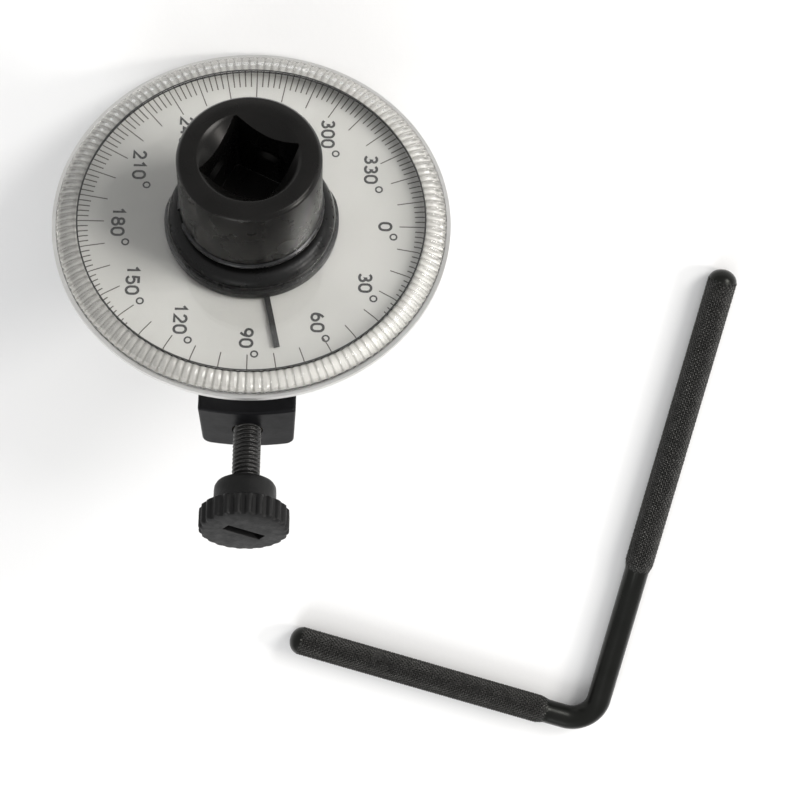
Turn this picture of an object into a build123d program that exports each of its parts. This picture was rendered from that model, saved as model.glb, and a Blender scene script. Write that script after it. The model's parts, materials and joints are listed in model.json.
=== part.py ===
from build123d import *
import math
import os

# A torque angle gauge for 1/2 inch square drive wrenches, with its loose bent reaction rod.
# The gauge is modelled upright about its drive axis (gauge frame: Z is the drive axis, the
# female square points up, the clamp arm points to -Y), then laid on the bench, leaning on the
# rim of its base plate and on the tip of its male square. Sizes are in millimetres.

# ---- square drive ----
SQUARE = 12.7                 # 1/2 inch drive, across the flats
SQUARE_CLOCKING = -27.2       # turn of the female square against the arm, degrees
SQUARE_DEPTH = 16.0
HEAD_TOP = 22.0               # height of the female end above the dial datum
HEAD_R = 12.4
HEAD_LOW = 7.2                # underside of the head, above the snap ring groove
MOUTH_R = 8.9                 # countersink at the mouth of the square hole
CATCH_GROOVE_R = 7.2          # groove inside the square hole that catches a detent ball
CATCH_GROOVE_Z = 13.6
NECK_R = 11.5                 # bottom of the snap ring groove
LAND_R = 12.0
SHOULDER_R = 11.4
SHOULDER_TOP = 4.7
SHOULDER_LOW = -3.0
JOURNAL_R = 10.0
JOURNAL_LOW = -18.6
TIP_Z = -31.0                 # free end of the male square
TIP_CHAMFER = 0.8

# ---- dial, base plate and clear cap ----
RIM_R = 35.0
RIM_TOP = 0.9
FOOT_R = 34.8                 # lower edge of the rim, which rests on the bench
RIM_LOW = -0.35
BASE_FLOOR = -1.4             # seat of the dial inside the base plate
BASE_LOW = -4.8
BASE_HOLE_R = 13.6
DIAL_R = 31.6
DIAL_HOLE_R = 12.8
DIAL_TOP = -0.8
DIAL_SEAT_R = 31.9
CAP_R = 34.3
CAP_TOP = 2.75
CAP_FLAT_R = 30.6             # the flat top ends here and the ribbed shoulder begins
CAP_RIB_TOP = 1.5             # foot of the shoulder
CAP_UNDER = 1.3
CAP_SKIRT_R = 32.5
CAP_GAP = 0.12                # running gap between cap and rim

# ---- collar, pointer ----
COLLAR_R = 14.6
COLLAR_LOW = -0.05
COLLAR_TOP = 4.6
COLLAR_BORE_R = 11.45
COLLAR_FLANGE_R = 15.5        # flange under the cap
COLLAR_FLANGE_TOP = 1.26
POINTER_ANGLE = 78.4          # dial reading under the pointer, clockwise from +X, degrees
POINTER_TIP_R = 25.2
POINTER_WIDTH = 1.0
POINTER_LOW = -0.45

# ---- clamp body and its fasteners ----
HUB_R = 19.0
HUB_LOW = -18.4
HUB_LOW_R = 16.4
HUB_WAIST = -13.5             # the hub tapers inwards below this height
ARM_LOW = -19.9
ARM_TOP = -7.0
ARM_END = -34.0
ARM_WIDTH_TOP = 17.0
ARM_WIDTH_LOW = 16.0
ARM_NOSE_R = 45.0             # the arm's end face is slightly rounded in plan
ARM_CORNER_TOP = 0.6
ARM_CORNER_LOW = 1.6
POCKET_R = 14.0               # recess under the hub for washer and circlip
POCKET_TOP = -16.2
BUSHING_R = 11.6
BUSHING_FLANGE_R = 13.4
BUSHING_TOP = -3.7
RUNNING_GAP = 0.04
WASHER_R = 12.9
CIRCLIP_R = 11.9
SCREW_CIRCLE_R = 16.2
SCREW_R = 1.25
SCREW_HEAD_R = 2.2

# ---- rod clamp ----
ROD_BORE_R = 3.0
BORE_Y = -24.6
BORE_Z = (ARM_TOP + ARM_LOW) / 2
STUD_R = 2.45                 # M5 thread
INSERT_OUT = -33.0
INSERT_IN = -30.0
INSERT_R = 3.9
CHANNEL_R = 2.7
PAD_R = 2.3
PAD_TIP = -27.8
PAD_BACK = -29.2
BOSS_FACE = -44.3
BOSS_R = 5.4
WHEEL_FACE = -49.1
WHEEL_END = -53.5
WHEEL_R = 7.8
WHEEL_RIBS = 24
SLOT_TURN = -34.0             # turn of the screwdriver slot in the knob's face, degrees

# ---- detent ----
BALL_R = 1.6
BALL_X = 5.75
BALL_Z = -25.2
DETENT_BORE_R = 1.68
DETENT_BORE_END = 0.8
SPRING_R = 1.15
SPRING_WIRE_R = 0.18

# ---- bent rod ----
ROD_R = 2.35
KNURL_R = 2.8
ROD_BEND_R = 5.3
ROD_BEND = 85.7               # angle between the two arms, degrees
LONG_ARM = 96.6               # from the corner of the two axes to the end
SHORT_ARM = 62.6
LONG_KNURL_START = 34.2
SHORT_KNURL_START = 9.6
KNURL_STEP = 1.6
BEND_REACH = ROD_BEND_R / math.tan(math.radians(ROD_BEND / 2))
ROD_HEADING = 77.85           # direction of the long arm on the bench, degrees
ROD_CORNER = (67.3, -108.0)   # corner of the rod's axes, from the foot of the dial centre

LEAN = math.degrees(math.atan2(RIM_LOW - (TIP_Z + TIP_CHAMFER), FOOT_R - SQUARE / 2))
DIAL_HEIGHT = FOOT_R * math.sin(math.radians(LEAN)) - RIM_LOW * math.cos(math.radians(LEAN))


def lathe(*outline):
    """Solid of revolution about Z from (radius, height) corners."""
    corners = [(radius, 0, height) for radius, height in outline]
    return revolve(make_face(Polyline(*corners, close=True)), Axis.Z)


def ring(inner, outer, low, high):
    """Flat ring about Z."""
    return lathe((inner, low), (outer, low), (outer, high), (inner, high))


def bar_along_y(radius, start, end, height=0.0):
    """Round bar along Y between two Y values, at X = 0."""
    middle = (start + end) / 2
    return Pos(0, middle, height) * Rot(X=90) * Cylinder(radius, abs(end - start))


def drive_spindle():
    body = lathe(
        (0, JOURNAL_LOW), (JOURNAL_R, JOURNAL_LOW), (JOURNAL_R, SHOULDER_LOW),
        (SHOULDER_R, SHOULDER_LOW), (SHOULDER_R, SHOULDER_TOP), (LAND_R, SHOULDER_TOP),
        (LAND_R, SHOULDER_TOP + 0.6), (NECK_R, SHOULDER_TOP + 0.6), (NECK_R, HEAD_LOW),
        (HEAD_R, HEAD_LOW), (HEAD_R, HEAD_TOP - 1), (HEAD_R - 1, HEAD_TOP), (0, HEAD_TOP))
    tip_length = JOURNAL_LOW + 2 - TIP_Z
    tip = Pos(0, 0, TIP_Z + tip_length / 2) * Box(SQUARE, SQUARE, tip_length)
    tip = chamfer(tip.faces().sort_by(Axis.Z)[0].edges(), TIP_CHAMFER)
    corner_trim = Pos(0, 0, TIP_Z + tip_length / 2) * Cylinder(8.45, tip_length)
    body += tip & corner_trim
    hole = Pos(0, 0, HEAD_TOP - SQUARE_DEPTH / 2) * Box(SQUARE, SQUARE, SQUARE_DEPTH)
    relief = SQUARE / 2 - 0.42
    for x in (-relief, relief):
        for y in (-relief, relief):
            hole += Pos(x, y, HEAD_TOP - SQUARE_DEPTH / 2) * Cylinder(0.7, SQUARE_DEPTH)
    hole += lathe((0, HEAD_TOP - MOUTH_R), (MOUTH_R, HEAD_TOP), (0, HEAD_TOP))
    hole += lathe((0, CATCH_GROOVE_Z - 1.6), (CATCH_GROOVE_R - 0.8, CATCH_GROOVE_Z - 1.6),
                  (CATCH_GROOVE_R, CATCH_GROOVE_Z - 0.8), (CATCH_GROOVE_R, CATCH_GROOVE_Z + 0.8),
                  (CATCH_GROOVE_R - 0.8, CATCH_GROOVE_Z + 1.6), (0, CATCH_GROOVE_Z + 1.6))
    body -= Rot(Z=SQUARE_CLOCKING) * hole
    body -= ring(SHOULDER_R - 1.05, SHOULDER_R + 1, 1.4, 2.6)
    body -= ring(JOURNAL_R - 0.7, JOURNAL_R + 1, POCKET_TOP - 1.9, POCKET_TOP - 0.8)
    bore_length = SQUARE / 2 + 1 - DETENT_BORE_END
    body -= (Pos(DETENT_BORE_END + bore_length / 2, 0, BALL_Z) * Rot(Y=90)
             * Cylinder(DETENT_BORE_R, bore_length))
    return body


def retaining_ring():
    """Open round-wire snap ring in the groove under the head."""
    wire = 0.62
    middle = (SHOULDER_TOP + 0.6 + HEAD_LOW) / 2
    section = Pos(NECK_R + wire + 0.02, 0, middle) * Rot(X=90) * Circle(wire)
    return Rot(Z=200) * revolve(section, Axis.Z, 346)


def circlip():
    """External circlip with two eyes, in its groove under the hub."""
    low, high = POCKET_TOP - 1.85, POCKET_TOP - 0.85
    inner = JOURNAL_R - 0.65
    clip = ring(inner, CIRCLIP_R, low, high)
    clip -= Pos(0, CIRCLIP_R, (low + high) / 2) * Box(3.4, 2 * (CIRCLIP_R - 6), 3)
    for x in (-3.0, 3.0):
        eye = Pos(x, CIRCLIP_R - 0.5, (low + high) / 2)
        clip += eye * Cylinder(1.4, high - low)
        clip -= eye * Cylinder(0.6, 3)
    return clip


def friction_ring():
    """O-ring between spindle and collar that holds the pointer where it is set."""
    return revolve(Pos(SHOULDER_R - 0.5, 0, 2.0) * Rot(X=90) * Circle(0.48), Axis.Z)


def detent_ball():
    return Pos(BALL_X, 0, BALL_Z) * Sphere(BALL_R)


def detent_spring():
    height = BALL_X - BALL_R - DETENT_BORE_END - 2 * SPRING_WIRE_R - 0.05
    path = Helix(pitch=0.72, height=height, radius=SPRING_R)
    section = Plane(path @ 0, z_dir=path % 0) * Circle(SPRING_WIRE_R)
    coil = sweep(section, path)
    return Pos(DETENT_BORE_END + SPRING_WIRE_R, 0, BALL_Z) * Rot(Y=90) * coil


def hub_collar():
    collar = ring(COLLAR_BORE_R, COLLAR_R, COLLAR_LOW, COLLAR_TOP)
    top_edge = collar.edges().filter_by(GeomType.CIRCLE).filter_by(lambda e: e.radius > COLLAR_R - 1)
    collar = fillet(top_edge.sort_by(Axis.Z)[-1], 0.9)
    return collar + ring(COLLAR_BORE_R, COLLAR_FLANGE_R, COLLAR_LOW, COLLAR_FLANGE_TOP)


def clear_bezel():
    """Clear cap that is turned to set the pointer; its grip band is plain here."""
    crown = ThreePointArc((CAP_R - 0.2, 0, CAP_RIB_TOP), (32.7, 0, 2.34), (CAP_FLAT_R, 0, CAP_TOP))
    low = RIM_TOP + CAP_GAP
    inner = COLLAR_R + 0.02
    lines = Polyline(
        (CAP_FLAT_R, 0, CAP_TOP), (inner, 0, CAP_TOP), (inner, 0, CAP_UNDER),
        (CAP_SKIRT_R, 0, CAP_UNDER), (CAP_SKIRT_R, 0, low), (CAP_R, 0, low),
        (CAP_R, 0, CAP_RIB_TOP), (CAP_R - 0.2, 0, CAP_RIB_TOP))
    return revolve(make_face(Curve() + [crown, lines]), Axis.Z)


def pointer():
    hub = ring(LAND_R + 0.1, COLLAR_FLANGE_R - 0.3, POINTER_LOW, COLLAR_LOW)
    start = COLLAR_R - 1.2
    length = POINTER_TIP_R - start
    height = COLLAR_LOW - POINTER_LOW
    arm = Pos(start + length / 2, 0, POINTER_LOW + height / 2) * Box(length, POINTER_WIDTH, height)
    return hub + Rot(Z=-POINTER_ANGLE) * arm


def dial_plate():
    return ring(DIAL_HOLE_R, DIAL_R, BASE_FLOOR, DIAL_TOP)


def screw_spots():
    """Places of the three housing screws, as turns about the drive axis."""
    return [Rot(Z=30 + 120 * i) * Pos(SCREW_CIRCLE_R, 0, 0) for i in range(3)]


def base_plate():
    plate = lathe(
        (BASE_HOLE_R, BASE_FLOOR), (DIAL_SEAT_R, BASE_FLOOR), (DIAL_SEAT_R, RIM_TOP),
        (RIM_R, RIM_TOP), (RIM_R, 0.2), (FOOT_R, RIM_LOW), (33.2, -0.9), (31.0, -2.4), (29.4, BASE_LOW),
        (28.0, BASE_LOW), (27.4, -3.1), (21.0, -3.1), (20.4, BASE_LOW), (BASE_HOLE_R, BASE_LOW))
    for spot in screw_spots():
        plate -= spot * Pos(0, 0, -3) * Cylinder(SCREW_R, 6)
        plate -= spot * Pos(0, 0, BASE_FLOOR - 0.6) * Cone(SCREW_R, SCREW_HEAD_R, 1.2)
    return plate


def housing_screws():
    """Three countersunk screws under the dial that hold the base plate to the clamp body."""
    screws = []
    for spot in screw_spots():
        head = Pos(0, 0, BASE_FLOOR - 0.62) * Cone(SCREW_R - 0.05, SCREW_HEAD_R - 0.05, 1.1)
        shank = Pos(0, 0, -6.4) * Cylinder(SCREW_R - 0.05, 9.2)
        recess = Pos(0, 0, BASE_FLOOR - 0.4) * Box(2.4, 0.5, 1.0)
        recess += Pos(0, 0, BASE_FLOOR - 0.4) * Box(0.5, 2.4, 1.0)
        screws.append(spot * (head + shank - recess))
    return Compound(children=screws)


def clamp_body():
    hub = lathe((0, BASE_LOW), (HUB_R, BASE_LOW), (HUB_R, HUB_WAIST), (HUB_LOW_R, HUB_LOW), (0, HUB_LOW))
    half_top, half_low = ARM_WIDTH_TOP / 2, ARM_WIDTH_LOW / 2
    section = make_face(Polyline((-half_top, 0, ARM_TOP), (half_top, 0, ARM_TOP),
                                 (half_low, 0, ARM_LOW), (-half_low, 0, ARM_LOW), close=True))
    arm = extrude(section, amount=-ARM_END, dir=(0, -1, 0))
    long_edges = arm.edges().filter_by(Axis.Y).sort_by(Axis.Z)
    arm = fillet(long_edges[:2], ARM_CORNER_LOW)
    arm = fillet(arm.edges().filter_by(Axis.Y).sort_by(Axis.Z)[-2:], ARM_CORNER_TOP)
    arm &= Pos(0, ARM_END + ARM_NOSE_R, ARM_TOP) * Cylinder(ARM_NOSE_R, 40)
    arm = fillet(arm.faces().sort_by(Axis.Y)[0].edges(), ARM_CORNER_TOP - 0.1)
    body = hub + arm
    body -= Pos(0, 0, HUB_LOW / 2) * Cylinder(BUSHING_R, -HUB_LOW + 4)
    body -= Pos(0, 0, POCKET_TOP - 3) * Cylinder(POCKET_R, 6)
    body -= Pos(0, BORE_Y, BORE_Z) * Rot(Y=90) * Cylinder(ROD_BORE_R, 2 * ARM_WIDTH_TOP)
    body -= bar_along_y(CHANNEL_R, ARM_END - 1, BORE_Y, BORE_Z)
    body -= bar_along_y(INSERT_R, INSERT_OUT, INSERT_IN, BORE_Z)
    for spot in screw_spots():
        body -= spot * Pos(0, 0, -8) * Cylinder(SCREW_R, 8.4)
    return body


def spindle_bushing():
    inner = JOURNAL_R + RUNNING_GAP
    return lathe((inner, POCKET_TOP), (BUSHING_R, POCKET_TOP), (BUSHING_R, BASE_LOW),
                 (BUSHING_FLANGE_R, BASE_LOW), (BUSHING_FLANGE_R, BUSHING_TOP), (inner, BUSHING_TOP))


def upper_washer():
    return ring(JOURNAL_R + 0.1, WASHER_R, BUSHING_TOP, SHOULDER_LOW - 0.05)


def lower_washer():
    return ring(JOURNAL_R + 0.1, WASHER_R, POCKET_TOP - 0.75, POCKET_TOP)


def thread_insert():
    middle = (INSERT_OUT + INSERT_IN) / 2
    insert = bar_along_y(INSERT_R, INSERT_OUT, INSERT_IN, BORE_Z)
    groove = bar_along_y(INSERT_R + 1, middle - 0.5, middle + 0.5, BORE_Z)
    groove -= bar_along_y(INSERT_R - 0.5, middle - 0.5, middle + 0.5, BORE_Z)
    return insert - groove - bar_along_y(STUD_R + RUNNING_GAP, INSERT_OUT - 1, INSERT_IN + 1, BORE_Z)


def pressure_pad():
    pad = bar_along_y(PAD_R, PAD_TIP, PAD_BACK, BORE_Z)
    return chamfer(pad.faces().sort_by(Axis.Y)[-1].edges(), 0.3)


def thumb_screw():
    stud = bar_along_y(STUD_R, PAD_BACK - 0.9, BOSS_FACE - 3, BORE_Z)
    stud = chamfer(stud.faces().sort_by(Axis.Y)[-1].edges(), 0.4)
    return stud + bar_along_y(1.4, PAD_BACK - 0.03, PAD_BACK - 2, BORE_Z)


def thumb_knob():
    boss = bar_along_y(BOSS_R, BOSS_FACE, WHEEL_FACE - 1, BORE_Z)
    boss = fillet(boss.faces().sort_by(Axis.Y)[-1].edges(), 1.2)
    wheel = bar_along_y(WHEEL_R - 0.4, WHEEL_FACE, WHEEL_END, BORE_Z)
    wheel = chamfer(wheel.faces().filter_by(Axis.Y).edges(), 0.5)
    rib_length = WHEEL_FACE - WHEEL_END - 0.8
    middle = (WHEEL_FACE + WHEEL_END) / 2
    for i in range(WHEEL_RIBS):
        turn = Pos(0, middle, BORE_Z) * Rot(Y=360 * i / WHEEL_RIBS)
        wheel += turn * Pos(WHEEL_R - 0.5, 0, 0) * Rot(X=90) * Cylinder(0.5, rib_length)
    slot = Pos(0, WHEEL_END, BORE_Z) * Rot(Y=-SLOT_TURN) * Box(7.5, 3.0, 2.0)
    return boss + wheel - slot - bar_along_y(STUD_R, BOSS_FACE + 1, BOSS_FACE - 3, BORE_Z)


def rod_arm(length, knurl_start):
    """One arm of the rod along +X from the end of the bend, with its thicker knurled grip."""
    shank = lathe(
        (0, BEND_REACH), (ROD_R, BEND_REACH), (ROD_R, knurl_start), (KNURL_R, knurl_start + KNURL_STEP),
        (KNURL_R, length - 0.9), (KNURL_R - 0.9, length), (0, length))
    return Rot(Y=90) * shank


def reaction_rod():
    """L-shaped rod with its corner at the origin, one arm along +X, knurled on both arms."""
    start = Vector(BEND_REACH, 0, 0)
    end = start.rotate(Axis.Z, ROD_BEND)
    path = RadiusArc(start, end, ROD_BEND_R)
    bend = sweep(Plane(path @ 0, z_dir=path % 0) * Circle(ROD_R), path)
    long_arm = rod_arm(LONG_ARM, LONG_KNURL_START)
    short_arm = Rot(Z=ROD_BEND) * rod_arm(SHORT_ARM, SHORT_KNURL_START)
    return long_arm + bend + short_arm


def on_bench(part):
    """Lays a gauge piece on the bench: dial facing -Y, leaning back, dial centre over the origin."""
    return Pos(0, 0, DIAL_HEIGHT) * Rot(Z=180) * Rot(X=-LEAN) * part


def rod_on_bench(rod):
    return Rot(Z=180) * Pos(ROD_CORNER[0], ROD_CORNER[1], KNURL_R) * Rot(Z=ROD_HEADING) * rod


GAUGE_PIECES = [
    drive_spindle, retaining_ring, circlip, friction_ring, detent_ball, detent_spring,
    hub_collar, clear_bezel, pointer, dial_plate, base_plate, housing_screws, clamp_body,
    spindle_bushing, upper_washer, lower_washer, thread_insert, pressure_pad, thumb_screw,
    thumb_knob]


def build_all():
    """Every node by name, placed on the bench with the whole object's footprint centred."""
    placed = {piece.__name__: on_bench(piece()) for piece in GAUGE_PIECES}
    placed["reaction_rod"] = rod_on_bench(reaction_rod())
    box = Compound(children=[Compound(part.wrapped) for part in placed.values()]).bounding_box()
    shift = Pos(-box.center().X, -box.center().Y, -box.min.Z)
    return shift, {name: shift * part for name, part in placed.items()}


frame_shift, nodes = build_all()
os.makedirs("parts", exist_ok=True)
for name, part in nodes.items():
    part.label = name
    export_step(part, f"parts/{name}.step")
print("lean", round(LEAN, 3), "dial height", round(DIAL_HEIGHT, 3), "shift", frame_shift.position)
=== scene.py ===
import bmesh
import bpy
import json
import math
from mathutils import Matrix, Vector

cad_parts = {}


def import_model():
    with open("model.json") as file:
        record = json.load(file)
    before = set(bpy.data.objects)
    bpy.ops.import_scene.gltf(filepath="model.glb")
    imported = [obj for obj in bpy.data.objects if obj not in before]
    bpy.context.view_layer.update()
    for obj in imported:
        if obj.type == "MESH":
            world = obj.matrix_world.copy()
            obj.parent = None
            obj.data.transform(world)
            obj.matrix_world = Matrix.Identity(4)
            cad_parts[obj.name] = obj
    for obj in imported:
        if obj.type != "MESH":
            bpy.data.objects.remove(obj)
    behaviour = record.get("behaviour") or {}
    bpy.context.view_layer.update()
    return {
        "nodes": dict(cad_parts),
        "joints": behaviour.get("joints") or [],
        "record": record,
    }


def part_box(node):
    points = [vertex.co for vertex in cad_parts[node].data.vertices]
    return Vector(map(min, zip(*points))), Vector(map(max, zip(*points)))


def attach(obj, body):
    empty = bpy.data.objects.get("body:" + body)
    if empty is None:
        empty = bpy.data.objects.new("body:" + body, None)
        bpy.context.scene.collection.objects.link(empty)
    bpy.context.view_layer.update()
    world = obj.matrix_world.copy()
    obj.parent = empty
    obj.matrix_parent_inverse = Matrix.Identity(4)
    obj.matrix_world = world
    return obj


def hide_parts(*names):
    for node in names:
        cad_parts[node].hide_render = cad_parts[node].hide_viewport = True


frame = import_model()

# Sizes are in millimetres in the gauge frame, as in the CAD: Z is the drive axis and points out of
# the dial, X is the dial's 0 degrees, the clamp arm points to -Y.  Dial angles run clockwise.
MM = 0.001
TURN = 2 * math.pi

# ---- dial print ----
DIAL_TOP = -0.8
INK = 0.02
TICK_OUT = 31.5
TICK_LONG_IN = 26.0
TICK_SHORT_IN = 28.8
LABEL_R = 23.5
DIGIT_SIZE = (1.43, 2.08)         # centre lines of the strokes
DIGIT_STEP = 2.05
DIGIT_STROKE = 0.46
DEGREE_R = 0.57
# The numbers at these degrees stand off their even places by this much, up to 1.8 mm.
LABEL_SHIFTS = {60: (0.2, 0.9), 90: (-0.25, 0.75), 120: (0, 1.1), 240: (-0.6, -1.3),
                300: (1.3, -1.3), 330: (0.5, 0), 30: (-0.25, 0.3)}
DEGREE_STROKE = 0.3

# ---- clear cap ----
CAP_TOP = 2.75
CAP_UNDER = 1.3
CAP_BORE_R = 14.62
CAP_FOOT_R, CAP_FOOT_LOW = 34.3, 1.04
GROOVE_R = 30.5
CAP_RIBS = 148
RIB_SAMPLES = 8                   # points round each rib
RIB_HEIGHT = 0.46

# ---- collar, with a rounder shoulder and a slightly smaller flange than the CAD's ----
COLLAR_BORE_R = 11.45
COLLAR_R = 14.6
COLLAR_TOP = 4.6
COLLAR_FILLET = 2.2
COLLAR_FLANGE_R = 15.3

# ---- drive spindle and thumb knob ----
SQUARE_HALF = 6.35                # half of the 12.7 mm drive square
SQUARE_CLOCKING = -27.2
HEAD_R = 12.4
HEAD_TOP = 22.0
DETENT_R, DETENT_Z = 1.68, -25.2
KNOB_RIBS = 24
KNOB_SLOT_TURN = -34.0

# ---- thumb screw ----
SCREW_Z = -13.45
SCREW_R = 2.45
SCREW_PITCH = 0.8
SCREW_DEPTH = 0.46
SCREW_START, SCREW_END = -30.1, -47.2

# ---- bent rod ----
ROD_R = 2.35
KNURL_R = 2.8
KNURL_AROUND = 20
KNURL_PITCH = 0.9
KNURL_DEPTH = 0.34
ROD_BEND_R = 5.3
ROD_BEND = 85.7
LONG_ARM, LONG_KNURL_START = 96.6, 34.2
SHORT_ARM, SHORT_KNURL_START = 62.6, 9.6
KNURL_STEP = 1.6
END_CHAMFER = 0.9                 # of the CAD's rod, from which the rod's place is worked out
END_ROUND = 2.2                   # length of the domed end


def gauge_frame():
    """Matrix from gauge millimetres to the row frame, from the drive axis in the record."""
    joint = next(j for j in frame["joints"] if j["name"] == "spindle_turn")
    z = Vector(joint["axis"]).normalized()
    x = Vector((-1, 0, 0))
    axes = Matrix((x, z.cross(x), z)).transposed().to_4x4()
    return Matrix.Translation(Vector(joint["pos_m"])) @ axes @ Matrix.Scale(MM, 4)


GAUGE = gauge_frame()


# ------------------------------------------------------------------ materials
class Shader:
    """A material's node tree, built by short calls.  Scales are per metre."""

    def __init__(self, name):
        self.material = bpy.data.materials.new(name)
        self.material.use_nodes = True
        self.tree = self.material.node_tree
        self.tree.nodes.clear()
        self.output = self.add("ShaderNodeOutputMaterial")
        self.main = self.add("ShaderNodeBsdfPrincipled")
        self.link(self.main.outputs[0], self.output.inputs["Surface"])
        self.place = self.add("ShaderNodeTexCoord").outputs["Object"]
        self.normal = None

    def add(self, kind, **settings):
        node = self.tree.nodes.new(kind)
        for key, value in settings.items():
            setattr(node, key, value)
        return node

    def link(self, source, target):
        self.tree.links.new(source, target)

    def set(self, **sockets):
        """Sets or links sockets of the main shader; Base_Color means Base Color."""
        for key, value in sockets.items():
            socket = self.main.inputs[key.replace("_", " ")]
            if isinstance(value, bpy.types.NodeSocket):
                self.link(value, socket)
            else:
                socket.default_value = value
        return self

    def noise(self, scale, detail=3.0, stretch=None, rough=0.55):
        node = self.add("ShaderNodeTexNoise")
        node.inputs["Scale"].default_value = scale
        node.inputs["Detail"].default_value = detail
        node.inputs["Roughness"].default_value = rough
        place = self.place
        if stretch is not None:
            mapping = self.add("ShaderNodeMapping")
            mapping.inputs["Rotation"].default_value = stretch[0]
            mapping.inputs["Scale"].default_value = stretch[1]
            self.link(place, mapping.inputs["Vector"])
            place = mapping.outputs[0]
        self.link(place, node.inputs["Vector"])
        return node.outputs["Fac"]

    def cells(self, scale, randomness=1.0):
        node = self.add("ShaderNodeTexVoronoi")
        node.inputs["Scale"].default_value = scale
        node.inputs["Randomness"].default_value = randomness
        self.link(self.place, node.inputs["Vector"])
        return node.outputs["Distance"]

    def ramp(self, factor, *stops):
        """Colour ramp from (position, grey or colour) stops."""
        node = self.add("ShaderNodeValToRGB")
        elements = node.color_ramp.elements
        while len(elements) < len(stops):
            elements.new(0.5)
        for element, (position, value) in zip(elements, stops):
            element.position = position
            rgb = (value,) * 3 if isinstance(value, (int, float)) else value
            element.color = (*rgb, 1)
        self.link(factor, node.inputs["Fac"])
        return node.outputs["Color"]

    def maths(self, operation, a, b, clamp=False):
        node = self.add("ShaderNodeMath", operation=operation, use_clamp=clamp)
        for socket, value in zip(node.inputs, (a, b)):
            if isinstance(value, bpy.types.NodeSocket):
                self.link(value, socket)
            else:
                socket.default_value = value
        return node.outputs[0]

    def mix(self, factor, a, b):
        node = self.add("ShaderNodeMix", data_type="RGBA")
        for socket, value in zip((node.inputs[0], node.inputs[6], node.inputs[7]), (factor, a, b)):
            if isinstance(value, bpy.types.NodeSocket):
                self.link(value, socket)
            else:
                socket.default_value = value if isinstance(value, float) else (*value, 1)
        return node.outputs[2]

    def bump(self, height, depth_mm, strength=1.0):
        node = self.add("ShaderNodeBump")
        node.inputs["Strength"].default_value = strength
        node.inputs["Distance"].default_value = depth_mm * MM
        self.link(height, node.inputs["Height"])
        if self.normal is not None:
            self.link(self.normal, node.inputs["Normal"])
        self.normal = node.outputs["Normal"]
        self.link(self.normal, self.main.inputs["Normal"])
        return self

    def edges(self, radius_mm):
        """Mask that is 1 along sharp convex and concave edges."""
        bevel = self.add("ShaderNodeBevel", samples=6)
        bevel.inputs["Radius"].default_value = radius_mm * MM
        geometry = self.add("ShaderNodeNewGeometry")
        dot = self.add("ShaderNodeVectorMath", operation="DOT_PRODUCT")
        self.link(bevel.outputs[0], dot.inputs[0])
        self.link(geometry.outputs["Normal"], dot.inputs[1])
        return self.ramp(dot.outputs["Value"], (0.80, 1.0), (0.97, 0.0))

    def round_the_axis(self):
        """Distance from the drive axis in millimetres, and angle round it in radians."""
        mapping = self.add("ShaderNodeMapping", vector_type="TEXTURE")
        mapping.inputs["Location"].default_value = GAUGE.translation
        mapping.inputs["Rotation"].default_value = GAUGE.to_3x3().normalized().to_euler()
        mapping.inputs["Scale"].default_value = (MM, MM, MM)
        self.link(self.place, mapping.inputs["Vector"])
        parts = self.add("ShaderNodeSeparateXYZ")
        self.link(mapping.outputs[0], parts.inputs[0])
        x, y = parts.outputs[0], parts.outputs[1]
        squares = self.maths("ADD", self.maths("MULTIPLY", x, x), self.maths("MULTIPLY", y, y))
        return self.maths("POWER", squares, 0.5), self.maths("ARCTAN2", y, x)

    def round_edges(self, radius_mm):
        """Softens sharp edges in the shading."""
        bevel = self.add("ShaderNodeBevel", samples=6)
        bevel.inputs["Radius"].default_value = radius_mm * MM
        self.normal = bevel.outputs[0]
        self.link(self.normal, self.main.inputs["Normal"])
        return self


def black_steel(name, dark, light, rough, edge_worn_and_glint=0.35, grain=900, least=0.0):
    """Blackened steel: thin oxide with brown and blue clouds, fine grain, and edges painted lighter, partly
    worn bare steel and partly a painted edge highlight.
    """
    s = Shader(name)
    clouds = s.noise(160, 4)
    colour = s.ramp(clouds, (0.3, dark), (0.7, light))
    s.round_edges(0.12)
    # Lighter colour along edges: partly worn bare steel, partly a painted highlight on edges, knurl and
    # thread crests.
    worn_and_glint_edges = s.maths("MULTIPLY", s.edges(0.22), s.ramp(s.noise(700, 3), (0.35, least), (0.65, edge_worn_and_glint)))
    s.set(Base_Color=s.mix(worn_and_glint_edges, colour, (0.20, 0.195, 0.19)), Metallic=0.75)
    s.set(Roughness=s.ramp(s.noise(150, 3), (0.25, rough - 0.03), (0.75, rough + 0.04)))
    s.bump(s.noise(grain, 2), 0.002)
    return s.material


def clear_acrylic():
    """Clear moulded acrylic with a faint grey tint and hairline scuffs.  Lamps reach through it."""
    s = Shader("acrylic")
    scuffs = s.noise(500, 4, ((0.0, 0.0, 0.6), (1.0, 9.0, 1.0)))
    shoulder = s.maths("SUBTRACT", s.round_the_axis()[0], 30.7, clamp=True)
    frosting = s.maths("MULTIPLY", shoulder, 0.16)
    s.set(Base_Color=s.ramp(s.noise(60, 2), (0.3, (0.955, 0.96, 0.955)), (0.7, (0.985, 0.985, 0.98))),
          Roughness=s.maths("ADD", s.ramp(scuffs, (0.45, 0.015), (0.75, 0.09)), frosting),
          Transmission_Weight=1.0, IOR=1.49)
    s.bump(s.noise(90, 2), 0.01)
    through = s.add("ShaderNodeBsdfTransparent")
    through.inputs[0].default_value = (0.93, 0.935, 0.93, 1)
    path = s.add("ShaderNodeLightPath")
    mix = s.add("ShaderNodeMixShader")
    s.link(path.outputs["Is Shadow Ray"], mix.inputs[0])
    s.link(s.main.outputs[0], mix.inputs[1])
    s.link(through.outputs[0], mix.inputs[2])
    s.link(mix.outputs[0], s.output.inputs["Surface"])
    return s.material


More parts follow.
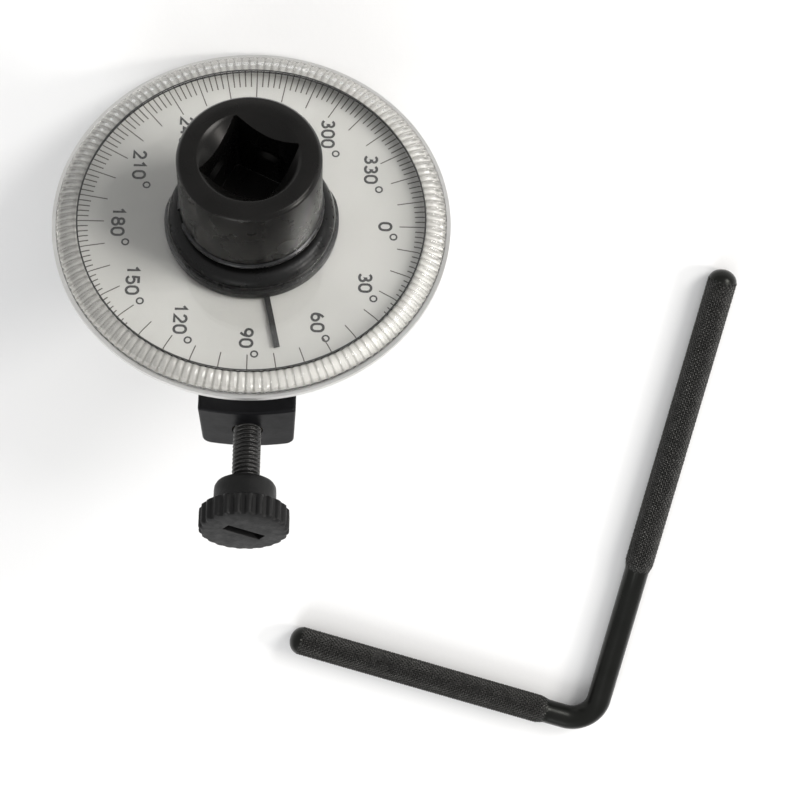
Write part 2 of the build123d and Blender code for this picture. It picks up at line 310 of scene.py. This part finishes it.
def frosted():
    """Frosted pale plastic, slightly mottled, with darker stripes between the ribs that are painted shade.
    """
    s = Shader("frosted_acrylic")
    turns = s.maths("MULTIPLY", s.round_the_axis()[1], CAP_RIBS / TURN)
    crest = s.maths("PINGPONG", s.maths("ADD", turns, 1000.0), 0.5)
    tone = s.ramp(s.noise(110, 4), (0.3, (0.37, 0.36, 0.345)), (0.7, (0.46, 0.45, 0.43)))
    # Darker stripes in the valleys between the ribs: painted shade.
    s.set(Base_Color=s.mix(s.ramp(crest, (0.1, 0.0), (0.4, 1.0)), (0.22, 0.215, 0.2), tone),
          Roughness=s.ramp(s.noise(700, 3), (0.3, 0.42), (0.7, 0.6)))
    s.bump(s.noise(2400, 3), 0.01)
    return s.material


def dial_metal():
    """Satin painted dial sheet: pale warm grey, very fine grain and a few specks."""
    s = Shader("dial_sheet")
    tone = s.ramp(s.noise(45, 3), (0.3, (0.50, 0.495, 0.475)), (0.7, (0.56, 0.555, 0.535)))
    specks = s.ramp(s.cells(420), (0.03, 1.0), (0.05, 0.0))
    s.set(Base_Color=s.mix(s.maths("MULTIPLY", specks, 0.25), tone, (0.34, 0.33, 0.31)),
          Metallic=0.25, Roughness=s.ramp(s.noise(900, 3), (0.3, 0.38), (0.7, 0.5)))
    s.bump(s.noise(2600, 3), 0.008)
    return s.material


def base_metal():
    """Bright turned aluminium of the base plate, with fine turning marks."""
    s = Shader("base_aluminium")
    tone = s.ramp(s.noise(70, 4), (0.3, (0.58, 0.575, 0.56)), (0.7, (0.74, 0.735, 0.72)))
    s.set(Base_Color=tone, Metallic=0.85,
          Roughness=s.ramp(s.noise(800, 4), (0.3, 0.3), (0.7, 0.46)))
    s.bump(s.noise(1500, 3, ((0.0, 0.0, 0.0), (1.0, 1.0, 6.0))), 0.01)
    return s.material


def cast_black():
    """Black painted die casting of the clamp body: smooth semi-gloss with a shallow orange peel."""
    s = Shader("black_casting")
    colour = s.ramp(s.noise(120, 4), (0.3, (0.005, 0.005, 0.006)), (0.7, (0.009, 0.009, 0.010)))
    s.set(Base_Color=colour, Specular_IOR_Level=0.1,
          Roughness=s.ramp(s.noise(350, 4), (0.3, 0.28), (0.7, 0.42)))
    s.bump(s.noise(600, 3), 0.02).bump(s.noise(90, 2), 0.05)
    return s.material


def moulded_black(name, rough=0.5, level=0.022):
    """Moulded black plastic with a fine sparkle texture and lighter grey edges, a painted edge highlight.
    """
    s = Shader(name)
    s.round_edges(0.15)
    colour = s.ramp(s.noise(200, 4), (0.3, level * 0.75), (0.7, level * 1.2))
    # Lighter grey along the edges: painted edge highlight.
    s.set(Base_Color=s.mix(s.maths("MULTIPLY", s.edges(0.25), 0.3), colour, (0.04, 0.04, 0.04)),
          Roughness=s.ramp(s.noise(600, 3), (0.3, rough - 0.08), (0.7, rough + 0.1)),
          Specular_IOR_Level=0.22)
    s.bump(s.cells(2600), 0.015).bump(s.noise(300, 3), 0.02)
    return s.material


def plain_metal(name, low, high, rough, metallic=1.0):
    """Small inner metal pieces: bright drawn metal with light clouds and grain."""
    s = Shader(name)
    s.set(Base_Color=s.ramp(s.noise(300, 4), (0.3, low), (0.7, high)), Metallic=metallic,
          Roughness=s.ramp(s.noise(900, 3), (0.3, rough - 0.06), (0.7, rough + 0.1)))
    s.bump(s.noise(2200, 3), 0.006)
    return s.material


def ink(name="dial_ink", dark=0.012, light=0.03):
    """Printed black ink, also used as the painted shade in the cap's groove: slightly uneven density."""
    s = Shader(name)
    s.set(Base_Color=s.ramp(s.noise(1200, 3), (0.3, dark), (0.7, light)),
          Roughness=s.ramp(s.noise(700, 2), (0.3, 0.45), (0.7, 0.6)))
    s.bump(s.noise(3000, 2), 0.003)
    return s.material


OXIDE = black_steel("black_oxide", (0.009, 0.0087, 0.008), (0.014, 0.0132, 0.0125), 0.27, edge_worn_and_glint=0.5)
# The rod's edges are never fully dark: a painted glint on the knurl.
ROD_FINISH = black_steel("black_phosphate", (0.010, 0.0105, 0.009), (0.014, 0.0145, 0.013), 0.28, edge_worn_and_glint=0.5,
                         least=0.3)
THREAD_FINISH = black_steel("thread_steel", (0.03, 0.03, 0.03), (0.07, 0.068, 0.065), 0.26, edge_worn_and_glint=0.7)
SPRING = plain_metal("spring_steel", (0.03, 0.03, 0.031), (0.06, 0.06, 0.061), 0.3)
FINISHES = {
    "drive_spindle": OXIDE,
    "retaining_ring": SPRING,
    "circlip": SPRING,
    "detent_spring": SPRING,
    "detent_ball": plain_metal("polished_steel", (0.55, 0.55, 0.56), (0.66, 0.66, 0.67), 0.14),
    "friction_ring": moulded_black("nitrile_rubber", 0.6, 0.012),
    "hub_collar": moulded_black("collar_plastic", 0.32, 0.005),
    "pointer": ink("pointer_enamel", 0.008, 0.02),
    "dial_plate": dial_metal(),
    "base_plate": base_metal(),
    "housing_screws": plain_metal("zinc_plate", (0.42, 0.42, 0.44), (0.56, 0.56, 0.58), 0.3),
    "clamp_body": cast_black(),
    "spindle_bushing": plain_metal("bearing_bronze", (0.34, 0.2, 0.09), (0.46, 0.29, 0.13), 0.34),
    "thread_insert": plain_metal("insert_brass", (0.5, 0.36, 0.13), (0.62, 0.46, 0.19), 0.3),
    "pressure_pad": plain_metal("pad_brass", (0.46, 0.33, 0.12), (0.58, 0.42, 0.17), 0.36),
    "thumb_knob": moulded_black("knob_plastic", 0.5, 0.006),
}
for washer in ("upper_washer", "lower_washer"):
    FINISHES[washer] = plain_metal(washer, (0.3, 0.3, 0.31), (0.42, 0.42, 0.43), 0.32)
for node_name, material in FINISHES.items():
    mesh = frame["nodes"][node_name].data
    mesh.materials.clear()
    mesh.materials.append(material)


# ------------------------------------------------------------------ mesh pieces
class Shape:
    """Vertices and faces that become one mesh piece."""

    def __init__(self):
        self.points, self.faces = [], []

    def grid(self, rows, loop_rows=False, loop_columns=True, split=None):
        """Faces between rows of points.  split(i, j) picks a quad's diagonal, for triangles."""
        base, width = len(self.points), len(rows[0])
        for row in rows:
            self.points.extend(row)
        last_row = len(rows) if loop_rows else len(rows) - 1
        last_column = width if loop_columns else width - 1
        for i in range(last_row):
            for j in range(last_column):
                a = base + i * width + j
                b = base + i * width + (j + 1) % width
                c = base + (i + 1) % len(rows) * width + (j + 1) % width
                d = base + (i + 1) % len(rows) * width + j
                if split is None:
                    self.faces.append((a, b, c, d))
                elif split(i, j):
                    self.faces += [(a, b, d), (b, c, d)]
                else:
                    self.faces += [(a, b, c), (a, c, d)]
        return base

    def cap(self, first, count, flip=False):
        ring = list(range(first, first + count))
        self.faces.append(tuple(reversed(ring)) if flip else tuple(ring))

    def lathe(self, outline, count):
        """A ring turned about Z from a closed outline of (radius, height) corners."""
        turns = [TURN * j / count for j in range(count)]
        self.grid([[(r * math.cos(a), r * math.sin(a), z) for a in turns] for r, z in outline],
                  loop_rows=True)

    def tube(self, sections, count, place):
        """Closed round body from (distance along, radius) sections; radius may depend on the angle."""
        rows = []
        for along, radius in sections:
            angles = [TURN * j / count for j in range(count)]
            radii = [radius(a) if callable(radius) else radius for a in angles]
            rows.append([place(along, r * math.cos(a), r * math.sin(a)) for r, a in zip(radii, angles)])
        base = self.grid(rows)
        self.cap(base, count)
        self.cap(base + count * (len(rows) - 1), count, flip=True)

    def stroke(self, line, width, low, high, closed=False):
        """A flat bar with mitred corners along a line of (x, y) points."""
        line = [Vector(p) for p in line]
        count = len(line)
        rows = []
        for i, point in enumerate(line):
            before = line[(i - 1) % count] if closed or i else None
            after = line[(i + 1) % count] if closed or i < count - 1 else None
            spans = ((before, point), (point, after))
            ways = [(b - a).normalized() for a, b in spans if a is not None and b is not None]
            way = sum(ways, Vector((0, 0))).normalized()
            side = Vector((-way.y, way.x)) * (width / 2 / max(0.5, way.dot(ways[0])))
            left, right = point + side, point - side
            rows.append([(*left, low), (*right, low), (*right, high), (*left, high)])
        base = self.grid(rows, loop_rows=closed)
        if not closed:
            self.cap(base, 4, flip=False)
            self.cap(base + 4 * (count - 1), 4, flip=True)

    def mesh(self, name, placement=GAUGE):
        """The shape as a clean mesh in the row frame, normals outwards."""
        mesh = bpy.data.meshes.new(name)
        mesh.from_pydata([placement @ Vector(p) for p in self.points], [], self.faces)
        cleaned = bmesh.new()
        cleaned.from_mesh(mesh)
        bmesh.ops.remove_doubles(cleaned, verts=cleaned.verts, dist=1e-6)
        bmesh.ops.recalc_face_normals(cleaned, faces=cleaned.faces)
        cleaned.to_mesh(mesh)
        cleaned.free()
        return mesh

    def piece(self, name, material, body, slot, placement=GAUGE, smooth=None, replaces=(), carve=None):
        """Makes the piece; edges under smooth degrees are shaded smooth, and carve is cut out of it."""
        obj = bpy.data.objects.new(name, self.mesh(name, placement))
        bpy.context.scene.collection.objects.link(obj)
        if carve:
            tool = bpy.data.objects.new("tool", carve.mesh("tool", placement))
            bpy.context.scene.collection.objects.link(tool)
            obj.modifiers.new("carve", "BOOLEAN").object = tool
            evaluated = obj.evaluated_get(bpy.context.evaluated_depsgraph_get())
            carved = bpy.data.meshes.new_from_object(evaluated)
            obj.modifiers.clear()
            obj.data = carved
            bpy.data.objects.remove(tool)
        if smooth is not None:
            obj.data.shade_smooth()
            obj.data.set_sharp_from_angle(angle=math.radians(smooth))
        obj.data.materials.clear()
        obj.data.materials.append(material)
        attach(obj, body)
        if replaces:
            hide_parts(*replaces)
        return obj


def arc(cx, cy, rx, ry, start, end, steps=14):
    """Points on an ellipse between two angles in degrees."""
    angles = [math.radians(start + (end - start) * i / steps) for i in range(steps + 1)]
    return [(cx + rx * math.cos(a), cy + ry * math.sin(a)) for a in angles]


SIX = [arc(0, -0.2, 0.48, 0.3, 0, 360)[:-1], arc(0.62, -0.22, 1.1, 0.85, 178, 124, 6)]
DIGITS = {
    "0": [arc(0, 0.14, 0.5, 0.36, 0, 180) + arc(0, -0.14, 0.5, 0.36, 180, 360)],
    "1": [[(-0.3, 0.24), (0.08, 0.48), (0.08, -0.5)]],
    "2": [arc(-0.02, 0.2, 0.46, 0.3, 170, -25) + [(-0.5, -0.5), (0.52, -0.5)]],
    "3": [arc(-0.03, 0.26, 0.42, 0.24, 155, -90) + arc(-0.03, -0.24, 0.5, 0.26, 90, -155)],
    "4": [[(0.05, 0.5), (-0.5, -0.22), (0.52, -0.22)], [(0.2, 0.08), (0.2, -0.5)]],
    "5": [[(0.44, 0.5), (-0.36, 0.5), (-0.42, 0.03)] + arc(-0.02, -0.18, 0.5, 0.32, 140, -155)],
    "6": SIX,
    "7": [[(-0.5, 0.5), (0.48, 0.5), (-0.1, -0.5)]],
    "8": [arc(0, 0.26, 0.41, 0.24, 0, 360)[:-1], arc(0, -0.23, 0.5, 0.27, 0, 360)[:-1]],
    "9": [[(-x, -y) for x, y in line] for line in SIX],
}
CLOSED = {("0", 0), ("6", 0), ("8", 0), ("8", 1), ("9", 0)}


def on_dial(radius, degrees):
    angle = math.radians(degrees)
    return Vector((radius * math.cos(angle), -radius * math.sin(angle)))


def dial_ticks():
    """Ticks every 2 degrees, longer every 10."""
    shape = Shape()
    low, high = DIAL_TOP - 0.01, DIAL_TOP + INK
    for degrees in range(0, 360, 2):
        long_tick = degrees % 10 == 0
        start = TICK_LONG_IN if long_tick else TICK_SHORT_IN
        shape.stroke([on_dial(start, degrees), on_dial(TICK_OUT, degrees)],
                     0.2 if long_tick else 0.22, low, high)
    return shape.piece("dial_ticks", ink("tick_ink", (0.05, 0.043, 0.036), (0.09, 0.078, 0.066)), "housing",
                       "pointer_black")


def dial_numbers():
    """Numbers every 30 degrees with their degree signs, all in one orientation."""
    shape = Shape()
    low, high = DIAL_TOP - 0.01, DIAL_TOP + INK
    for degrees in range(0, 360, 30):
        text = str(degrees)
        middle = on_dial(LABEL_R, degrees) + Vector(LABEL_SHIFTS.get(degrees, (0, 0)))
        for i, digit in enumerate(text):
            offset = (i - (len(text) - 1) / 2) * DIGIT_STEP
            for k, line in enumerate(DIGITS[digit]):
                points = [(middle.x + y * DIGIT_SIZE[1], middle.y - offset - x * DIGIT_SIZE[0])
                          for x, y in line]
                shape.stroke(points, DIGIT_STROKE, low, high, closed=(digit, k) in CLOSED)
        end = (len(text) - 1) / 2 * DIGIT_STEP + 2.1
        ring = arc(middle.x + 1.45, middle.y - end, DEGREE_R, DEGREE_R, 0, 360, 20)[:-1]
        shape.stroke(ring, DEGREE_STROKE, low, high, closed=True)
    return shape.piece("dial_numbers", ink(), "housing", "pointer_black")


def bezel():
    """Clear cap: flat window, fine groove round it, and a shoulder whose grip ribs grow to the foot."""
    shoulder = []
    for i in range(1, 9):
        t = i / 8
        radius = (1 - t) ** 2 * 30.75 + 2 * t * (1 - t) * 32.9 + t * t * 33.8
        height = (1 - t) ** 2 * 2.7 + 2 * t * (1 - t) * 2.62 + t * t * 1.38
        rise = RIB_HEIGHT * min(1.0, 0.35 + 1.1 * t)
        shoulder.append((radius, height, rise * (0.25 + 0.7 * t), rise * (1 - 0.75 * t)))
    foot = [(CAP_FOOT_R - 0.06, CAP_FOOT_LOW), (CAP_FOOT_R, CAP_FOOT_LOW + 0.06), (CAP_FOOT_R, 1.2),
            (CAP_FOOT_R - 0.08, 1.27)]
    groove = [(GROOVE_R + 0.2, 2.68), (GROOVE_R, 2.58), (GROOVE_R - 0.2, 2.66), (GROOVE_R - 0.5, 2.705),
              (29.6, 2.735), (29.1, 2.749)]
    window = [(28.9, CAP_TOP), (28.7, CAP_TOP), (15.2, CAP_TOP), (15.1, CAP_TOP)]
    bore = [(CAP_BORE_R + 0.06, CAP_TOP - 0.03), (CAP_BORE_R, 2.65), (CAP_BORE_R, CAP_UNDER + 0.05),
            (CAP_BORE_R + 0.04, CAP_UNDER)]
    underside = [(14.8, CAP_UNDER), (14.9, CAP_UNDER), (30.2, CAP_UNDER), (30.3, CAP_UNDER), (30.4, 1.32),
                 (30.56, 1.95), (30.8, 2.03), (31.1, 2.05), (32.2, 1.85), (33.3, CAP_FOOT_LOW)]
    plain = [(r, z, 0, 0) for r, z in groove + window + bore + underside]
    outline = [(r, z, 0, 0) for r, z in foot] + shoulder[::-1] + plain
    count = CAP_RIBS * RIB_SAMPLES
    rows = []
    for radius, height, outward, upward in outline:
        row = []
        for j in range(count):
            tooth = 1 - abs(2 * (j % RIB_SAMPLES) / RIB_SAMPLES - 1)
            swell = 0.5 * tooth + 0.5 * math.sin(math.pi * tooth / 2) ** 2
            angle, r = TURN * j / count, radius + outward * swell
            row.append((r * math.cos(angle), r * math.sin(angle), height + upward * swell))
        rows.append(row)
    shape = Shape()
    shape.grid(rows, loop_rows=True)
    return shape.piece("bezel", clear_acrylic(), "pointer_cap", "clear_acrylic", smooth=60,
                       replaces=["clear_bezel"])


def bezel_liner():
    """Frosted ring under the shoulder, ribbed like the grip above it.  It is only for the look."""
    count = CAP_RIBS * RIB_SAMPLES
    rows = []
    for radius, height, rise in (
            (30.6, 1.29, 0), (30.68, 1.86, 0), (30.9, 1.92, 0.02), (31.15, 1.9, 0.04), (32.1, 1.66, 0.12),
            (33.0, 1.1, 0.12), (33.2, 1.03, 0), (34.15, 1.025, 0), (34.15, 0.98, 0), (32.5, 0.98, 0),
            (31.2, 1.29, 0)):
        row = []
        for j in range(count):
            swell = rise * (1 - abs(2 * (j % RIB_SAMPLES) / RIB_SAMPLES - 1))
            angle = TURN * j / count
            row.append((radius * math.cos(angle), radius * math.sin(angle), height + swell))
        rows.append(row)
    shape = Shape()
    shape.grid(rows, loop_rows=True)
    return shape.piece("bezel_liner", frosted(), "pointer_cap", "clear_acrylic", smooth=60)


def bezel_groove():
    """Dark ring in the groove between the window and the shoulder: painted shade where the groove looks
    dark.
    """
    shape = Shape()
    shape.lathe([(GROOVE_R - 0.14, 2.66), (GROOVE_R, 2.6), (GROOVE_R + 0.14, 2.66), (GROOVE_R + 0.13, 2.69),
                 (GROOVE_R, 2.64), (GROOVE_R - 0.13, 2.69)], 360)
    # The dark ring is painted shade in the groove.
    return shape.piece("bezel_painted_groove_shade", ink("painted_groove_shade", 0.02, 0.045), "pointer_cap",
                       "pointer_black", smooth=60)


def square(half, corner):
    """Radius of a square with blunt corners as a function of the angle."""
    return lambda angle: min(half / max(abs(math.cos(angle)), abs(math.sin(angle))), corner)


def spindle():
    """Drive spindle in one skin: male square, journal, snap ring groove, head and female square."""
    count = 192
    rows = []

    def row(radius, height, clocking=0.0):
        """One row; radius and height may be functions of the angle from the square's flat."""
        points = []
        for j in range(count):
            angle = TURN * j / count
            r = radius(angle) if callable(radius) else radius
            z = height(angle) if callable(height) else height
            turn = angle + math.radians(clocking)
            points.append((r * math.cos(turn), r * math.sin(turn), z))
        rows.append(points)

    drive = square(SQUARE_HALF, 8.45)
    tip_and_journal = (
        (0.5, -31.0), (square(SQUARE_HALF - 0.8, 7.6), -31.0), (drive, -30.2), (drive, -18.6), (9.6, -18.6),
        (10, -18.3), (10, -18.1), (9.3, -18.1), (9.3, -17.0), (10, -17.0), (10, -3.0))
    for radius, height in tip_and_journal:
        row(radius, height)
    shoulder_and_neck = (
        (11.4, -3.0), (11.4, 1.4), (10.35, 1.4), (10.35, 2.6), (11.4, 2.6), (11.4, 4.7), (11.9, 4.7),
        (12.0, 4.78), (12.0, 5.22), (11.9, 5.3), (11.5, 5.3), (11.5, 7.2))
    head = (
        (HEAD_R - 0.15, 7.2), (HEAD_R, 7.33), (HEAD_R, HEAD_TOP - 0.8), (HEAD_R - 0.06, HEAD_TOP - 0.58),
        (HEAD_R - 0.5, HEAD_TOP - 0.12), (HEAD_R - 0.7, HEAD_TOP), (9.0, HEAD_TOP), (8.88, HEAD_TOP - 0.03))
    for radius, height in shoulder_and_neck + head:
        row(radius, height, SQUARE_CLOCKING)
    bore = square(SQUARE_HALF, 8.7)
    for share in (0.35, 0.7, 1.0):
        cone = lambda angle, share=share: 8.8 - share * (8.8 - bore(angle))
        row(cone, lambda angle, cone=cone: 21.9 - (8.8 - cone(angle)), SQUARE_CLOCKING)
    row(bore, lambda angle: 21.7 - (8.8 - bore(angle)), SQUARE_CLOCKING)
    for radius, height in ((0, 15.2), (7.2, 14.4), (7.2, 12.8), (0, 12.0), (0, 6.0)):
        row(lambda angle, radius=radius: max(radius, bore(angle)), height, SQUARE_CLOCKING)
    row(0.5, 6.0, SQUARE_CLOCKING)
    shape, hole = Shape(), Shape()
    base = shape.grid(rows)
    shape.cap(base, count)
    shape.cap(base + count * (len(rows) - 1), count, flip=True)
    hole.tube([(0.8, DETENT_R), (9.0, DETENT_R)], 32, lambda along, a, b: (along, a, b + DETENT_Z))
    return shape.piece("spindle", OXIDE, "spindle", "black_steel", smooth=32, replaces=["drive_spindle"],
                       carve=hole)


def collar():
    """Black collar that carries the cap on its flange, and the pointer."""
    shape = Shape()
    turns = [math.radians(a) for a in range(0, 91, 10)]
    centre_r, centre_z = COLLAR_R - COLLAR_FILLET, COLLAR_TOP - COLLAR_FILLET
    top = [(centre_r + COLLAR_FILLET * math.cos(a), centre_z + COLLAR_FILLET * math.sin(a)) for a in turns]
    flange = [(COLLAR_BORE_R, 0.05), (COLLAR_BORE_R + 0.1, -0.05), (COLLAR_FLANGE_R - 0.1, -0.05),
              (COLLAR_FLANGE_R, 0.05), (COLLAR_FLANGE_R, 1.06), (COLLAR_FLANGE_R - 0.2, 1.26),
              (COLLAR_R + 0.15, 1.3)]
    mouth = [(COLLAR_BORE_R + 0.3, COLLAR_TOP), (COLLAR_BORE_R, COLLAR_TOP - 0.2)]
    shape.lathe(flange + top + mouth, 160)
    return shape.piece("collar", FINISHES["hub_collar"], "pointer_cap", "black_plastic", smooth=40,
                       replaces=["hub_collar"])


def knob():
    """Ribbed thumb wheel with its boss and screwdriver slot."""
    shape, slot = Shape(), Shape()

    def rib(angle):
        phase = angle * KNOB_RIBS / TURN % 1
        return max(0.0, 1 - (abs(phase - 0.5) / 0.34) ** 2.4) if abs(phase - 0.5) < 0.34 else 0.0

    def radius(plain, height):
        return lambda angle: plain + height * rib(angle)

    sections = [(1.5, -44.3), (4.1, -44.3), (4.6, -44.38), (5.05, -44.65), (5.35, -45.2), (5.42, -46.0),
                (5.42, -48.6), (5.6, -49.0), (6.1, -49.1), (6.9, -49.1), (7.2, -49.2),
                (radius(7.3, 0.2), -49.35),
                (radius(7.35, 0.45), -49.6), (radius(7.35, 0.5), -50.2), (radius(7.35, 0.5), -52.8),
                (radius(7.35, 0.42), -53.1), (radius(7.25, 0.2), -53.35), (6.9, -53.5), (4.0, -53.5),
                (0.5, -53.5)]
    shape.tube([(y, r) for r, y in sections], KNOB_RIBS * 14, lambda along, a, b: (a, along, SCREW_Z + b))
    turn = math.radians(KNOB_SLOT_TURN)
    corners = [Vector((x * math.cos(turn) - z * math.sin(turn), 0, x * math.sin(turn) + z * math.cos(turn)))
               for x, z in ((-3.75, -1), (3.75, -1), (3.75, 1), (-3.75, 1))]
    slot.grid([[corner + Vector((0, y, SCREW_Z)) for corner in corners] for y in (-52.0, -55.0)])
    slot.cap(0, 4)
    slot.cap(4, 4, flip=True)
    return shape.piece("knob", FINISHES["thumb_knob"], "clamp_screw", "black_plastic", smooth=35,
                       replaces=["thumb_knob"], carve=slot)


def thread_profile(phase):
    """Depth below the crest over one pitch of a 60 degree thread, with flat crest and rounded root."""
    distance = abs(phase - 0.5) * 2
    return SCREW_DEPTH * min(1.0, max(0.0, (distance - 0.14) / 0.66))


def thumb_screw():
    """The M5 thread as a real helix, with a plain nose that carries the pressure pad."""
    around, per_pitch = 40, 8
    length = SCREW_START - SCREW_END
    turns = math.ceil(length / SCREW_PITCH) + 1
    rows = []
    for k in range(turns * per_pitch + 1):
        row = []
        for j in range(around):
            travel = (k / per_pitch - 1 + j / around) * SCREW_PITCH
            radius = SCREW_R - thread_profile(k / per_pitch % 1)
            y = SCREW_START - min(max(travel, 0), length)
            end = min(1, (length - min(max(travel, 0), length)) / 0.5 + 0.85)
            angle = TURN * j / around
            row.append((radius * end * math.cos(angle), y, SCREW_Z + radius * end * math.sin(angle)))
        rows.append(row)
    shape = Shape()
    base = shape.grid(rows)
    shape.cap(base, around)
    shape.cap(base + around * (len(rows) - 1), around, flip=True)
    nose = [[(r * math.cos(TURN * j / 24), y, SCREW_Z + r * math.sin(TURN * j / 24)) for j in range(24)]
            for r, y in ((1.4, -31.0), (1.4, -29.3), (1.3, -29.22))]
    base = shape.grid(nose)
    shape.cap(base, 24)
    shape.cap(base + 48, 24, flip=True)
    return shape.piece("thumb_screw_thread", THREAD_FINISH, "clamp_screw", "black_steel", smooth=40,
                       replaces=["thumb_screw"])


def rod_placement():
    """Matrix that puts the rod's own frame (corner at the origin, long arm along +X) on the bench."""
    low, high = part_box("reaction_rod")
    shank = next(m for m in frame["record"]["mounts"] if m["name"] == "rod_shank")
    heading = Vector(shank["axis"])
    if heading.y > 0:
        heading = -heading
    angle = math.atan2(heading.y, heading.x)
    short_angle = angle + math.radians(ROD_BEND)

    def reach(length, way):
        """How far an arm's end reaches along an axis of the frame, from the corner."""
        across = math.sqrt(1 - way * way)
        return (length * abs(way) + (KNURL_R - END_CHAMFER) * across) * MM

    corner = Vector((high.x - reach(SHORT_ARM, math.cos(short_angle)),
                     low.y + reach(LONG_ARM, math.sin(angle)), (low.z + high.z) / 2))
    return Matrix.Translation(corner) @ Matrix.Rotation(angle, 4, "Z") @ Matrix.Scale(MM, 4)


def rod():
    """Bent rod in one skin: plain bend and shanks, real diamond knurling on both arms."""
    around = KNURL_AROUND * 4
    reach = ROD_BEND_R / math.tan(math.radians(ROD_BEND / 2))
    rows = []

    def ring(radius_of, centre, side):
        """One row of points round the rod; side is the unit vector across it in the bench plane."""
        row = []
        for j in range(around):
            angle = TURN * j / around
            radius = radius_of(j)
            across, up = radius * math.cos(angle), radius * math.sin(angle)
            row.append(centre + side * across + Vector((0, 0, up)))
        rows.append(row)

    def knurl(i, j):
        """Height of the knurl at a point of its half-step grid, 0 in the grooves."""
        u, v = (i + j) % 4, (i - j) % 4
        return min(abs(u - 2), abs(v - 2), 1.4) / 1.4

    def arm(length, knurl_start, way, outward):
        """Rows of one arm from the bend to its end."""
        side = Vector((-way.y, way.x, 0))
        lines = []
        for s in [reach + (knurl_start - reach) * k / 6 for k in range(7)]:
            lines.append((s, lambda j: ROD_R))
        step = KNURL_PITCH / 4
        first, last = knurl_start + 0.2, length - END_ROUND
        count = int((last - first) / step)
        for i in range(count + 1):
            s = first + (last - first) * i / count
            level = min(1, (s - knurl_start) / KNURL_STEP)
            crest = ROD_R + (KNURL_R - ROD_R) * level
            depth = KNURL_DEPTH * level
            lines.append((s, lambda j, i=i, crest=crest, depth=depth: crest - depth * (1 - knurl(i, j))))
        for k in range(1, 9):
            turn = math.radians(10.5 * k)
            radius = (KNURL_R - 0.1) * math.cos(turn)
            lines.append((last + END_ROUND * math.sin(turn), lambda j, radius=radius: radius))
        lines.append((length, lambda j: 0.02))
        for s, radius_of in (lines if outward else reversed(lines)):
            ring(radius_of, way * s, side)

    long_way = Vector((1, 0, 0))
    bend = math.radians(ROD_BEND)
    short_way = Vector((math.cos(bend), math.sin(bend), 0))
    arm(LONG_ARM, LONG_KNURL_START, long_way, outward=False)
    # The bend turns about a point on the inner side, from the long arm's line to the short arm's.
    pivot = Vector((reach, ROD_BEND_R, 0))
    steps = 22
    for k in range(1, steps):
        turn = (math.pi - bend) * k / steps
        spoke = Vector((-math.sin(turn), -math.cos(turn), 0))
        ring(lambda j: ROD_R, pivot + spoke * ROD_BEND_R, -spoke)
    count_long = len(rows)
    arm(SHORT_ARM, SHORT_KNURL_START, short_way, outward=True)
    for row in rows[count_long:]:
        # The short arm's rows start on the same side as the bend's last row.
        row[:] = [row[(around // 2 - j) % around] for j in range(around)]
    shape = Shape()
    base = shape.grid(rows, split=lambda i, j: (i + j) % 2 == 0)
    shape.cap(base, around)
    shape.cap(base + around * (len(rows) - 1), around, flip=True)
    return shape.piece("bent_rod", ROD_FINISH, "rod", "rod_steel", rod_placement(), smooth=24,
                       replaces=["reaction_rod"])


dial_ticks()
dial_numbers()
bezel()
bezel_liner()
bezel_groove()
spindle()
collar()
knob()
thumb_screw()
rod()


# ------------------------------------------------------------------ stage
def camera():
    data = bpy.data.cameras.new("camera")
    data.lens, data.sensor_width = 117.0, 36.0
    data.clip_start, data.clip_end = 0.01, 20.0
    obj = bpy.data.objects.new("camera", data)
    obj.location = GAUGE @ Vector((15.79, -234.39, 394.91))
    obj.rotation_euler = [math.radians(a) for a in (-19.532, -0.920, -178.528)]
    bpy.context.scene.collection.objects.link(obj)
    bpy.context.scene.camera = obj


def floor():
    mesh = bpy.data.meshes.new("floor")
    size, level = 3.0, -0.0002
    corners = [(-size, -size, level), (size, -size, level), (size, size, level), (-size, size, level)]
    mesh.from_pydata(corners, [], [(0, 1, 2, 3)])
    s = Shader("floor_paper")
    s.set(Base_Color=s.ramp(s.noise(12, 3), (0.3, 0.86), (0.7, 0.88)), Roughness=0.75)
    s.bump(s.noise(900, 3), 0.02)
    mesh.materials.append(s.material)
    obj = bpy.data.objects.new("floor", mesh)
    bpy.context.scene.collection.objects.link(obj)


def lamp(name, place, target, size, power, shade=(1, 1, 1)):
    data = bpy.data.lights.new(name, "AREA")
    data.shape, data.size, data.energy, data.color = "DISK", size, power, shade
    obj = bpy.data.objects.new(name, data)
    obj.location = place
    obj.rotation_euler = (Vector(target) - Vector(place)).to_track_quat("-Z", "Y").to_euler()
    bpy.context.scene.collection.objects.link(obj)


def world(strength):
    scene_world = bpy.data.worlds.new("studio")
    scene_world.use_nodes = True
    background = scene_world.node_tree.nodes["Background"]
    background.inputs["Color"].default_value = (1, 1, 1, 1)
    background.inputs["Strength"].default_value = strength
    bpy.context.scene.world = scene_world


camera()
floor()
world(0.66)
lamp("key", (-0.6, -0.5, 0.6), (0, 0, 0.02), 0.4, 4.8, (1.0, 0.985, 0.965))
lamp("accent", (-0.56, 0.0, 0.36), (0.02, -0.03, 0.04), 0.16, 1.7, (1.0, 0.97, 0.93))
lamp("back", (0.3, 0.75, 0.6), (0, 0, 0), 0.6, 3.6, (0.98, 0.99, 1.0))
bpy.context.scene.view_settings.view_transform = "Standard"
